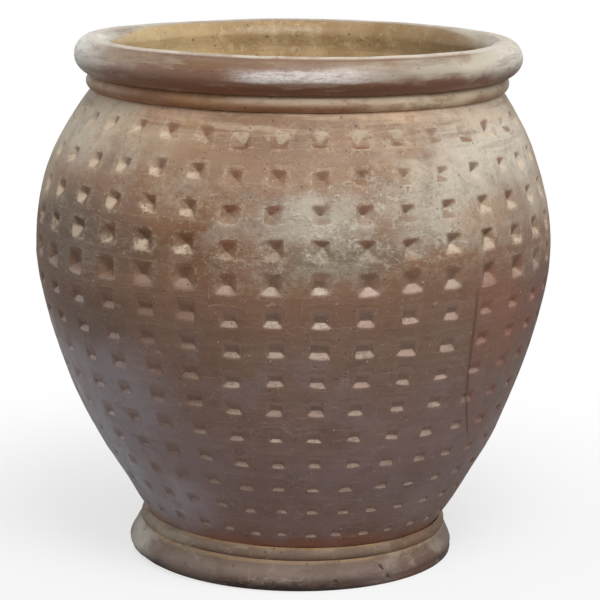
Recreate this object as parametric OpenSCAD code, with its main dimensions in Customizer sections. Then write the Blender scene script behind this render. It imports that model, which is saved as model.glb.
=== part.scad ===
// Hand-made ceramic floor planter: a wide-bellied clay pot with pressed pyramid stamps.
// It is built of luted clay sections: foot ring, floor slab, foot bead, two wall sections,
// collar bead and rolled rim. The origin is the centre of the resting face, +Z up.

/* [Body] */
// Largest diameter of the wall, at the belly
belly_d = 500; // [470:1:540]
// Outer diameter of the wall at the neck, where the collar sits
neck_d = 396; // [370:1:420]
// Outer diameter of the wall at the foot line, just above the foot bead
base_d = 292; // [270:1:330]
// Height of the wall's outside, from the foot line to the neck
body_h = 415; // [390:1:450]
// Height of the belly above the foot line
belly_h = 269; // [255:1:285]
// Radius of the curve just under the belly
belly_r = 206; // [180:1:225]
// Angle that the curve under the belly turns before the long taper takes over
belly_turn = 11; // [8:0.5:14]
// Thickness of the wall
wall = 18; // [14:0.5:20]

/* [Foot] */
// How far the half-round foot ring stands out past the foot of the wall
foot_out = 14; // [11:0.5:18]
// Height of the foot ring
foot_h = 28.5; // [26:0.5:31]
// Radius of the foot ring's rounded side
foot_r = 16.2; // [15.6:0.1:18]
// How far the foot bead stands out past the foot of the wall
foot_bead_out = 4.5; // [3:0.5:6]
// Height of the foot bead
foot_bead_h = 11.5; // [9:0.5:14]
// Height of the foot bead's widest line above the foot ring
foot_bead_rise = 4; // [2:0.5:6]
// How far the foot bead stands out past the foot ring's top edge
foot_step = 1; // [0:0.5:3]

/* [Floor] */
// Thickness of the floor slab
floor_t = 20; // [18:0.5:24]
// Height of the floor slab's underside above the ground
floor_lift = 14; // [11:0.5:18]
// Thickness of the wall's lip outside the floor slab, at the foot ring's top
floor_lip = 5; // [3.5:0.5:7]
// Width of the ledge inside the foot ring that carries the floor slab
floor_ledge = 10; // [6:0.5:14]
// Diameter of the drain hole
drain_d = 32; // [20:1:50]

/* [Rim] */
// How far the rolled rim stands out past the neck
rim_out = 17.5; // [14:0.5:22]
// Thickness of the roll, measured across it
rim_w = 36.6; // [34:0.2:40]
// Height of the roll above the collar
rim_h = 37; // [36:0.5:44]
// How far the roll's lower edge stands out past the neck
rim_seat_out = 5; // [3:0.5:8]
// Height of the collar bead between the wall and the roll
collar_h = 15; // [12:0.5:18]
// How far the collar bead stands out past the neck
collar_out = 5.5; // [4:0.5:8]
// How far the flat top and bottom of the collar bead reach out past the neck
collar_flat_out = 1; // [0:0.2:2]
// Width of the wall's ledge under the collar bead
collar_ledge = 3; // [2:0.5:5]
// Height that the neck reaches up inside the roll
neck_lug_h = 4; // [3:0.5:8]

/* [Belly joint] */
// Height of the ridge on the lower wall's top edge
ridge_h = 6; // [3:0.5:8]
// Width of the ridge
ridge_w = 8; // [5:0.5:10]

/* [Stamps] */
// Number of stamps in each row round the pot
stamp_columns = 36; // [24:1:40]
// Number of rows of stamps
stamp_rows = 14; // [10:1:15]
// Distance of the top row's centre below the neck
top_row_gap = 20; // [18:1:26]
// Distance of the bottom row's centre above the foot line
foot_row_gap = 17; // [15:1:22]
// Step between the top two rows, as a multiple of the step between the bottom two
row_step_ratio = 1.18; // [1:0.01:1.3]
// Angle of one column of stamps, from the middle of the front
first_column = -4.1; // [-5:0.1:5]
// Depth of a stamp in the top row
stamp_depth_top = 4; // [2:0.1:5]
// Depth of a stamp at the belly
stamp_depth_belly = 5.6; // [3:0.1:7]
// Depth of a stamp in the bottom row
stamp_depth_foot = 2.4; // [1.5:0.1:4]
// Slope of the stamp's four faces, from the wall's surface
stamp_slope = 27; // [25:0.5:35]

/* [Hidden] */
$fn = 180;

// Sides of the circles that the outlines are cut from
arc_sides = 256;
// How far a cutting shape reaches past what it cuts
past = 2;
// How far the tighter of two arcs runs on, inside the wider one, past the point where they meet
lap = 20;
// Corners of a stamp
corners = 4;
// Direction of the pot's front, as an angle from +X
front = -90;

// Heights, from the resting face up
foot_line = foot_h + foot_bead_h;
belly_z = foot_line + belly_h;
neck_z = foot_line + body_h;
collar_top = neck_z + collar_h;
lug_top = collar_top + neck_lug_h;
rim_top = collar_top + rim_h;
floor_top = floor_lift + floor_t;

// The shoulder is one arc from the belly, where it is upright, to the neck
shoulder_in = (belly_d - neck_d) / 2;
shoulder_r = (shoulder_in * shoulder_in + pow(neck_z - belly_z, 2)) / (2 * shoulder_in);
shoulder_x = belly_d / 2 - shoulder_r;

// Below the belly a tight arc meets the long arc of the taper, which ends at the foot line
belly_x = belly_d / 2 - belly_r;
turn = [cos(belly_turn), -sin(belly_turn)];
to_foot = [base_d / 2 - belly_x, foot_line - belly_z];
taper_r = (to_foot * to_foot - 2 * belly_r * (to_foot * turn) + belly_r * belly_r)
    / (2 * (belly_r - to_foot * turn));
taper_x = belly_x + (belly_r - taper_r) * turn[0];
taper_z = belly_z + (belly_r - taper_r) * turn[1];

// Centre and radius of the arc that the wall's outside follows at a height, as [x, z, radius]
function arc_at(z) =
    z > belly_z ? [shoulder_x, belly_z, shoulder_r]
    : z > turn_z(0) ? [belly_x, belly_z, belly_r]
    : [taper_x, taper_z, taper_r];
// Height at which the belly's curve hands over to the taper, on a skin that lies inset in the wall
function turn_z(inset) = belly_z + (belly_r - inset) * turn[1];
// Angle that the wall's outside faces above the level, and its radius, at a height
function lean_at(z) = let (a = arc_at(z)) asin((z - a[1]) / a[2]);
function radius_at(z) = let (a = arc_at(z)) a[0] + a[2] * cos(lean_at(z));

// Radii of what is fitted into or round the wall
foot_ring_r = base_d / 2 + foot_out;
foot_bead_r = base_d / 2 + foot_bead_out;
slab_r = radius_at(foot_h) - floor_lip;
foot_bore_r = slab_r - floor_ledge;
lug_r = neck_d / 2 - collar_ledge;
rim_r = neck_d / 2 + rim_out;
mouth_r = rim_r - rim_w;

// Rows of stamps: the step from row to row shrinks evenly from the top to the bottom
steps = stamp_rows - 1;
last_step = 2 * (body_h - top_row_gap - foot_row_gap) / (steps * (row_step_ratio + 1));
first_step = last_step * row_step_ratio;
step_change = (first_step - last_step) / (steps - 1);
function row_z(k) = neck_z - top_row_gap - k * first_step + step_change * k * (k - 1) / 2;

// The belly joint lies midway between two rows of stamps, the first gap under the belly
upper_rows = len([for (k = [0 : steps]) if (row_z(k) > belly_z) k]);
joint_z = (row_z(upper_rows - 1) + row_z(upper_rows)) / 2;

// Depth of a stamp by its height: deepest at the belly
function depth_at(z) =
    z > belly_z
    ? stamp_depth_belly + (stamp_depth_top - stamp_depth_belly) * (z - belly_z) / (row_z(0) - belly_z)
    : stamp_depth_belly + (stamp_depth_foot - stamp_depth_belly) * (belly_z - z) / (belly_z - row_z(steps));

// Radius of an arc that stands out by bulge and runs rise up or down from its widest line
function bulge_r(bulge, rise) = (bulge * bulge + rise * rise) / (2 * bulge);

// Part of the section plane from height z0 to z1, from the axis out to radius r
module band(z0, z1, r) {
    translate([0, z0]) square([r, z1 - z0]);
}

// Part of a disc between two heights, outside the axis
module disc_band(x, z, r, z0, z1) {
    intersection() {
        translate([x, z]) circle(r = r, $fn = arc_sides);
        band(z0, z1, belly_d);
    }
}

// Filled section of the body from the ground to the neck, inset from the wall's outside
module body_section(inset) {
    disc_band(shoulder_x, belly_z, shoulder_r - inset, belly_z - (shoulder_r < belly_r ? lap : 0), neck_z);
    disc_band(belly_x, belly_z, belly_r - inset, turn_z(inset), belly_z + (shoulder_r < belly_r ? 0 : lap));
    disc_band(taper_x, taper_z, taper_r - inset, 0, turn_z(inset));
}

// Section of the wall, from the foot ring to the neck
module wall_section() {
    difference() {
        body_section(0);
        body_section(wall);
        band(belly_z, neck_z + past, mouth_r);
        band(-past, foot_h, belly_d);
        band(0, floor_top, slab_r);
    }
}

// Section of the lug that the neck sends up inside the collar and the roll
module lug_section() {
    translate([mouth_r, neck_z - past]) square([lug_r - mouth_r, lug_top - neck_z + past]);
}

// Ridge in the middle of the wall, along the belly joint
module ridge_section() {
    x = radius_at(joint_z) - wall / 2;
    polygon([
        [x - ridge_w / 2, joint_z - past], [x + ridge_w / 2, joint_z - past],
        [x + ridge_w / 2, joint_z], [x, joint_z + ridge_h], [x - ridge_w / 2, joint_z]
    ]);
}

// Square pyramid with its point down, which stands past the wall's skin
module stamp(depth) {
    reach = (depth + past) / tan(stamp_slope);
    polyhedron(
        points = [
            [-reach, -reach, past], [reach, -reach, past], [reach, reach, past], [-reach, reach, past],
            [0, 0, -depth]
        ],
        faces = [[3, 2, 1, 0], for (i = [0 : corners - 1]) [i, (i + 1) % corners, corners]]
    );
}

// Rows of stamps from the first to the last one named, each square to the wall
module stamps(first, last) {
    for (k = [first : last], c = [0 : stamp_columns - 1])
        rotate([0, 0, front + first_column + c * 360 / stamp_columns])
            translate([radius_at(row_z(k)), 0, row_z(k)])
                rotate([0, 90 - lean_at(row_z(k)), 0])
                    stamp(depth_at(row_z(k)));
}

// Half-round ring that the pot stands on, with a ledge for the floor
module foot_ring() {
    x = foot_ring_r - foot_r;
    top_x = foot_bead_r - foot_step - x;
    z = foot_h - sqrt(foot_r * foot_r - top_x * top_x);
    color("#8d7b6c") rotate_extrude() difference() {
        union() {
            disc_band(x, z, foot_r, 0, foot_h);
            band(0, foot_h, x);
        }
        band(-past, foot_h, foot_bore_r);
        band(floor_lift, foot_h + past, slab_r);
    }
}

// Round floor with its drain hole
module floor_slab() {
    color("#a88c63") difference() {
        translate([0, 0, floor_lift]) cylinder(h = floor_t, r = slab_r);
        translate([0, 0, floor_lift - past]) cylinder(h = floor_t + 2 * past, r = drain_d / 2);
    }
}

// Small moulding in the corner between the wall and the foot ring
module foot_bead() {
    r = bulge_r(foot_bead_out, foot_bead_h - foot_bead_rise);
    color("#86705f") rotate_extrude() difference() {
        disc_band(foot_bead_r - r, foot_h + foot_bead_rise, r, foot_h, foot_line);
        body_section(0);
    }
}

// Lower belly and taper, with a ridge along its top edge
module lower_wall() {
    color("#6b5450") difference() {
        rotate_extrude() {
            intersection() {
                wall_section();
                band(0, joint_z, belly_d);
            }
            ridge_section();
        }
        stamps(upper_rows, steps);
    }
}

// Shoulder and upper belly, with a groove over the ridge and a neck for the collar and the rim
module upper_wall() {
    color("#a98c76") difference() {
        rotate_extrude() {
            difference() {
                wall_section();
                band(0, joint_z, belly_d);
                ridge_section();
            }
            lug_section();
        }
        stamps(0, upper_rows - 1);
    }
}

// Half-round moulding round the neck, under the rim
module collar_bead() {
    r = bulge_r(collar_out - collar_flat_out, collar_h / 2);
    x = neck_d / 2 + collar_out - r;
    color("#9a7c66") rotate_extrude() difference() {
        union() {
            disc_band(x, neck_z + collar_h / 2, r, neck_z, collar_top);
            band(neck_z, collar_top, x);
        }
        band(neck_z - past, collar_top + past, lug_r);
    }
}

// Fat rolled rim, saddled over the top of the neck
module rim_roll() {
    r = rim_w / 2;
    x = rim_r - r;
    low_z = collar_top + sqrt(r * r - pow(neck_d / 2 + rim_seat_out - x, 2));
    high_z = rim_top - r;
    color("#8f766c") rotate_extrude() difference() {
        union() {
            disc_band(x, low_z, r, collar_top, rim_top);
            disc_band(x, high_z, r, collar_top, rim_top);
            translate([mouth_r, low_z]) square([rim_w, high_z - low_z]);
            translate([mouth_r, collar_top]) square([r, high_z - collar_top]);
        }
        band(neck_z, lug_top, lug_r);
    }
}

foot_ring();
floor_slab();
foot_bead();
lower_wall();
upper_wall();
collar_bead();
rim_roll();
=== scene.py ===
"""Looks of a hand-made ceramic floor planter: seven luted clay sections, stamped skin, fired washes."""
import math
import random

import bmesh
import bpy
from mathutils import Matrix, Vector, noise


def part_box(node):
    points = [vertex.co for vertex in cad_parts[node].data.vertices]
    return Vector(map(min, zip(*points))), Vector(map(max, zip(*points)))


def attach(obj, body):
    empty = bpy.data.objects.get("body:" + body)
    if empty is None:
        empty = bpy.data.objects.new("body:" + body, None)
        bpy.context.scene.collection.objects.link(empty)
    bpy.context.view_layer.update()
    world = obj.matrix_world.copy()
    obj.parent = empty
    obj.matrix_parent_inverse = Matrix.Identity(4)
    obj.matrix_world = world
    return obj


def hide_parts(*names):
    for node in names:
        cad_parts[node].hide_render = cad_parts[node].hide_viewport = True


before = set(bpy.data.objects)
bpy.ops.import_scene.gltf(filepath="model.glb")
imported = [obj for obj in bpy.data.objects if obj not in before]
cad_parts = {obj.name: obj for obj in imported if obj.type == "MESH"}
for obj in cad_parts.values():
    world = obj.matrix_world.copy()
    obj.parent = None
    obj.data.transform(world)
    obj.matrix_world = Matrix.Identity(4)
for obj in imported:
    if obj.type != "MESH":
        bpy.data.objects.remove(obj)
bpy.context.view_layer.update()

MM = 0.001


def low(node):
    """Lowest corner of a CAD node."""
    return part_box(node)[0]


def high(node):
    """Highest corner of a CAD node."""
    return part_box(node)[1]


# Heights and radii that the frame gives
FOOT_TOP = high("foot_ring").z
FOOT_R = high("foot_ring").x
BEAD_R = high("foot_bead").x
FOOT_LINE = high("foot_bead").z
FLOOR_LOW = low("floor_slab").z
FLOOR_TOP = high("floor_slab").z
FLOOR_R = high("floor_slab").x
JOINT_Z = low("upper_wall").z
BELLY_R = high("upper_wall").x
NECK_Z = low("collar_bead").z
COLLAR_TOP = high("collar_bead").z
COLLAR_R = high("collar_bead").x
LUG_TOP = high("upper_wall").z
RIM_TOP = high("rim_roll").z
RIM_R = high("rim_roll").x

# The wall's section: a shoulder arc, a tighter arc under the belly and a long taper
WALL = 18 * MM
NECK_R = 198 * MM
BASE_R = 146 * MM
BELLY_Z = 309 * MM
BELLY_CURVE = 206 * MM
BELLY_TURN = math.radians(11)

# The foot, the collar and the rim
FOOT_CURVE = 16.2 * MM
FOOT_BORE_R = FLOOR_R - 10 * MM
FOOT_SHOULDER_R = BEAD_R - 1 * MM
BEAD_RISE = 4 * MM
DRAIN_R = 16 * MM
ROLL_WIDTH = 36.6 * MM
ROLL_SEAT_R = NECK_R + 5 * MM
LUG_R = NECK_R - 3 * MM
COLLAR_FLAT_R = NECK_R + 1 * MM
MOUTH_R = RIM_R - ROLL_WIDTH

# Stamps: columns round the pot, and rows whose step shrinks towards the foot
COLUMNS = 36
ROWS = 14
UPPER_ROWS = 5
FIRST_COLUMN = math.radians(-4.1)
TOP_ROW_GAP = 20 * MM
FOOT_ROW_GAP = 17 * MM
ROW_STEP_RATIO = 1.18
FRONT = -math.pi / 2
# Where the potter began each row, and how far its end climbed above its beginning
SEAM = math.radians(-19)
SEAM_CLIMB = 2.8 * MM
SEAM_DROP = 1.4 * MM
# How the columns drift as the hand works round: degrees, where and over what reach, in radians
COLUMN_DRIFT = ((1.9, -0.68, 0.48), (-0.7, 0.45, 0.38))
# Widths of the prints in mm: above and below the belly's widest line, and what they lose or gain
UPPER_PRINT, SHOULDER_LOSS, TOP_ROW_GAIN = 21.5, 7.5, 3.0
LOWER_PRINT, FOOT_LOSS = 21.0, 10.2

# Mesh divisions
CELL_SIDE = 8
AROUND = COLUMNS * CELL_SIDE
# Faces of a turned piece that meet at more than this have a sharp edge
SHARP_ANGLE = math.radians(40)
# How far the hand-smoothed skin lies inside the true section, so that its swells stay within it
SKIN_SLACK = 0.55 * MM
# The wall is drawn in a little above the foot: how much, and over what height
WAIST = 1.9 * MM
WAIST_Z = 82 * MM
WAIST_REACH = 30 * MM


def smooth(x, a, b):
    """0 below a, 1 above b, and a smooth step between them."""
    t = max(0.0, min(1.0, (x - a) / (b - a)))
    return t * t * (3 - 2 * t)


def bell(x, reach):
    """1 at x = 0, and close to 0 beyond twice the reach."""
    return math.exp(-((x / reach) ** 2))


def fbm(point, scale, octaves=3):
    """Layered noise from about -1 to 1, with features of about 1/scale metres."""
    total, size = 0.0, 1.0
    for octave in range(octaves):
        total += size * noise.noise(point * scale * 2**octave + Vector((7.3, 1.7, 3.1)) * octave)
        size *= 0.5
    return total


# Section of the wall

SHOULDER_IN = BELLY_R - NECK_R
SHOULDER_CURVE = (SHOULDER_IN**2 + (NECK_Z - BELLY_Z) ** 2) / (2 * SHOULDER_IN)
TURN = Vector((math.cos(BELLY_TURN), -math.sin(BELLY_TURN)))
TO_FOOT = Vector((BASE_R - (BELLY_R - BELLY_CURVE), FOOT_LINE - BELLY_Z))
TAPER_CURVE = (TO_FOOT.length_squared - 2 * BELLY_CURVE * TO_FOOT.dot(TURN) + BELLY_CURVE**2) / (
    2 * (BELLY_CURVE - TO_FOOT.dot(TURN))
)
SHOULDER_ARC = (BELLY_R - SHOULDER_CURVE, BELLY_Z, SHOULDER_CURVE)
BELLY_ARC = (BELLY_R - BELLY_CURVE, BELLY_Z, BELLY_CURVE)
TAPER_ARC = (
    BELLY_ARC[0] + (BELLY_CURVE - TAPER_CURVE) * TURN.x,
    BELLY_Z + (BELLY_CURVE - TAPER_CURVE) * TURN.y,
    TAPER_CURVE,
)


def arc_at(z, inset=0.0):
    """The arc that a skin of the wall follows at a height."""
    if z > BELLY_Z:
        return SHOULDER_ARC
    return BELLY_ARC if z > BELLY_Z + (BELLY_CURVE - inset) * TURN.y else TAPER_ARC


def radius_at(z, inset=0.0):
    """Radius of the wall's outside at a height, or of a skin that lies inset in it."""
    x, centre, r = arc_at(z, inset)
    return x + math.sqrt((r - inset) ** 2 - (z - centre) ** 2)


def lean_at(z):
    """Angle that the wall's outside faces above the level."""
    _, centre, r = arc_at(z)
    return math.asin((z - centre) / r)


STEPS = ROWS - 1
LAST_STEP = 2 * (NECK_Z - FOOT_LINE - TOP_ROW_GAP - FOOT_ROW_GAP) / (STEPS * (ROW_STEP_RATIO + 1))
STEP_CHANGE = LAST_STEP * (ROW_STEP_RATIO - 1) / (STEPS - 1)


def row_z(k):
    """Height of a row of stamps, counted from the top."""
    return NECK_Z - TOP_ROW_GAP - k * LAST_STEP * ROW_STEP_RATIO + STEP_CHANGE * k * (k - 1) / 2


def half_turn(angle):
    """The same angle, between half a turn back and half a turn on."""
    return (angle + math.pi) % math.tau - math.pi


def column_angle(column):
    """Angle of a column of stamps, whose spacing drifts as the hand works round."""
    angle = FIRST_COLUMN + column * math.tau / COLUMNS
    turn = half_turn(angle)
    drift = sum(degrees * bell(turn - middle, reach) for degrees, middle, reach in COLUMN_DRIFT)
    return angle + math.radians(drift)


# Height, then the axis's sideways shift, the level's slope and the clay's rise, as the hands left them
LEAN = (
    (0.0, 0.0, 0.0, 0.0),
    (0.016, 0.0012, 0.008, 0.0),
    (0.040, 0.0036, 0.017, 0.0),
    (0.070, 0.0040, 0.017, 0.0),
    (0.110, 0.0024, 0.015, 0.0),
    (0.170, 0.0006, 0.011, 0.0),
    (0.240, 0.0006, 0.003, 0.0),
    (0.310, 0.0, 0.0, 0.0),
    (0.380, -0.0006, 0.0, 0.0),
    (0.432, 0.0013, 0.0, 0.0),
    (0.455, 0.0020, -0.003, 0.0016),
    (0.474, 0.0025, -0.003, 0.0016),
    (0.498, 0.0026, 0.0, 0.0),
    (0.520, 0.0026, 0.0, 0.0),
)


def leaned(p):
    """A point of the true solid of revolution, moved as the hand-made pot leans."""
    z = max(0.0, p.z)
    for under, over in zip(LEAN, LEAN[1:]):
        if z <= over[0]:
            t = smooth(z, under[0], over[0])
            shift, slope, rise = (a + (b - a) * t for a, b in zip(under[1:], over[1:]))
            return Vector((p.x + shift, p.y, p.z + rise - p.x * slope))
    return p


def at(angle, r, z):
    """Point at an angle round the pot, counted from the front towards +X."""
    return Vector((r * math.cos(FRONT + angle), r * math.sin(FRONT + angle), z))


def new_piece(name, mesh, node, material):
    """Links a mesh as a piece that stands for a CAD node."""
    for polygon in mesh.polygons:
        polygon.use_smooth = True
    mesh.materials.append(material)
    piece = bpy.data.objects.new(name, mesh)
    bpy.context.scene.collection.objects.link(piece)
    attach(piece, "root")
    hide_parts(node)
    return piece


def face_outwards(mesh, mark_sharp):
    """Turns all faces outwards, and has a function mark the sharp edges."""
    sheet = bmesh.new()
    sheet.from_mesh(mesh)
    bmesh.ops.recalc_face_normals(sheet, faces=sheet.faces)
    mark_sharp(sheet)
    sheet.to_mesh(mesh)
    sheet.free()


def store(mesh, name, values):
    """Keeps one number for each vertex, for the material to read."""
    attribute = mesh.attributes.new(name, "FLOAT", "POINT")
    attribute.data.foreach_set("value", values)


# Stamped wall


class Stamp:
    """One print of the square pyramid tool, with the slips of the hand that pressed it."""

    def __init__(self, column, row):
        draw = random.Random(1000 * row + column)
        self.angle = column_angle(column)
        self.z = row_z(row)
        self.lean = lean_at(self.z)
        self.r = radius_at(self.z)
        below = smooth(BELLY_Z - self.z, -0.035, 0.05)
        top_row = smooth(self.z, row_z(1), row_z(0))
        if self.z > BELLY_Z:
            share = (self.z - BELLY_Z) / (row_z(0) - BELLY_Z)
            width = UPPER_PRINT - SHOULDER_LOSS * share + TOP_ROW_GAIN * top_row
        else:
            share = (BELLY_Z - self.z) / (BELLY_Z - row_z(STEPS))
            width = LOWER_PRINT - FOOT_LOSS * share**1.2
        self.half = width / 2 * MM * draw.uniform(0.92, 1.07)
        turn = half_turn(self.angle)
        front = smooth(turn, -0.42, -0.28) * (1 - smooth(turn, 0.66, 0.80))
        worn = top_row * (0.04 + 0.12 * front)
        self.depth = self.half * (0.54 - 0.22 * below - worn) * draw.uniform(0.80, 1.12)
        self.shallow_top = 0.93 * below
        self.edge_sink = EDGE_SINK * (1 - 0.5 * below)
        self.crisp = below
        past = turn - SEAM
        climb = SEAM_CLIMB * bell(past, 0.75) if past < 0 else -SEAM_DROP * bell(past, 0.25)
        self.slip = (draw.gauss(0, 0.7) * MM, draw.gauss(0, 0.5) * MM + climb)
        self.turn = math.radians(draw.gauss(0, 2.5))
        wiped = front * (1 - 0.8 * smooth(turn, 0.45, 0.60))
        self.reversed = top_row * max(wiped, 1.0 if draw.random() < 0.06 else 0.0)
        # How far the lower facets are painted dark, a dark stain with painted shade: on the top row's front
        # prints and, less, on the upper rows of the front
        self.stain_and_shade = max(self.reversed, front * smooth(self.z, 0.345, 0.375) * draw.uniform(0.35, 0.95))
        lowered = 0.34 * self.reversed * (1 - 0.7 * smooth(turn, 0.30, 0.50))
        self.apex = (
            self.half * draw.gauss(0, 0.16) * (1 - 0.6 * below),
            self.half * (draw.gauss(0, 0.13) * (1 - 0.6 * below) - lowered),
        )
        self.blunt = (
            self.half * (0.12 + 0.46 * below) * draw.uniform(0.75, 1.2),
            self.half * (0.08 + 0.34 * below + 0.10 * self.reversed) * draw.uniform(0.8, 1.2),
        )
        # Side of the print with dark wash and painted shade, with painted light on the facet opposite: up,
        # and away from the front
        self.wash_and_shade_side = 0.75 * smooth(-turn, 0.15, 0.8) - 0.45 * smooth(turn, 0.75, 1.2)
        self.wash_and_shade_side += draw.gauss(0, 0.15)
        self.wash_and_shade_side += 0.30 * front * smooth(-turn, -0.20, 0.05)
        # Prints of the second row that were half wiped away on the front
        self.faded = 0.30 * front if row == 1 else 0.0
        self.depth *= 1 - 0.35 * self.faded
        self.corners = [(draw.gauss(0, 0.05), draw.gauss(0, 0.05)) for _ in range(4)]
        self.tone = draw.random()

    def outline(self, u, v):
        """Point of the print's edge, from its place on the square from -1 to 1."""
        weights = ((1 - u) * (1 - v), (1 + u) * (1 - v), (1 + u) * (1 + v), (1 - u) * (1 + v))
        round_off = 1 - 0.11 * (abs(u) * abs(v)) ** 3
        s = (u * round_off + sum(w * c[0] for w, c in zip(weights, self.corners)) / 4) * self.half
        t = (v * round_off + sum(w * c[1] for w, c in zip(weights, self.corners)) / 4) * self.half
        c, n = math.cos(self.turn), math.sin(self.turn)
        return self.slip[0] + s * c - t * n, self.slip[1] + s * n + t * c

    def facing(self, u, v, side):
        """How much a place on the print lies on its upper (1) or lower (-1) facet."""
        hard = 1.0 if side * v > abs(u) or (side < 0 and -v >= abs(u)) else 0.0
        cosine = side * (u * math.sin(self.wash_and_shade_side) + v * math.cos(self.wash_and_shade_side)) / math.hypot(u, v)
        return hard * self.crisp + smooth(cosine, 0.30, 0.92) * (1 - self.crisp)

    def tip(self, u, v):
        """Point of the print's blunt bottom."""
        return (
            self.slip[0] + self.apex[0] + u * self.blunt[0],
            self.slip[1] + self.apex[1] + v * self.blunt[1],
        )


def square_ring():
    """Places round a cell's border, as steps from -1 to 1, from the lower left corner on."""
    side = [2 * i / CELL_SIDE - 1 for i in range(CELL_SIDE)]
    return (
        [(s, -1.0) for s in side]
        + [(1.0, s) for s in side]
        + [(-s, 1.0) for s in side]
        + [(-1.0, -s) for s in side]
    )


SQUARE = square_ring()
RING = len(SQUARE)
# Share of the way from the print's edge to its blunt bottom
INSIDE_RINGS = (0.0, 0.13, 0.28, 0.46, 0.64, 0.82, 0.94, 1.0)
# Distances outside the print's edge, and how far the clay is pushed up there
LIP_RINGS = ((0.8 * MM, -0.02 * MM), (2.0 * MM, 0.06 * MM))
MIDWAY = 0.62
EDGE_SINK = 0.30 * MM
EDGE_EASE = 0.10
FACET_ROUGH = 0.30 * MM
# Unevenness that the throwing left on the outside: broad, and in low level waves
SWELL = 0.45 * MM
RIPPLE = 0.2 * MM


def skin_point(angle, z, sink):
    """Point of the hand-smoothed outside, sunk below its surface."""
    r, lean = radius_at(z), lean_at(z)
    p = at(angle, r, z)
    swell = SWELL * fbm(p, 9, 2) + RIPPLE * fbm(Vector((p.x, p.y, p.z * 2.2)), 34, 2)
    inward = sink + SKIN_SLACK - swell + WAIST * bell(z - WAIST_Z, WAIST_REACH)
    return leaned(at(angle, r - inward * math.cos(lean), z - inward * math.sin(lean)))


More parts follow.
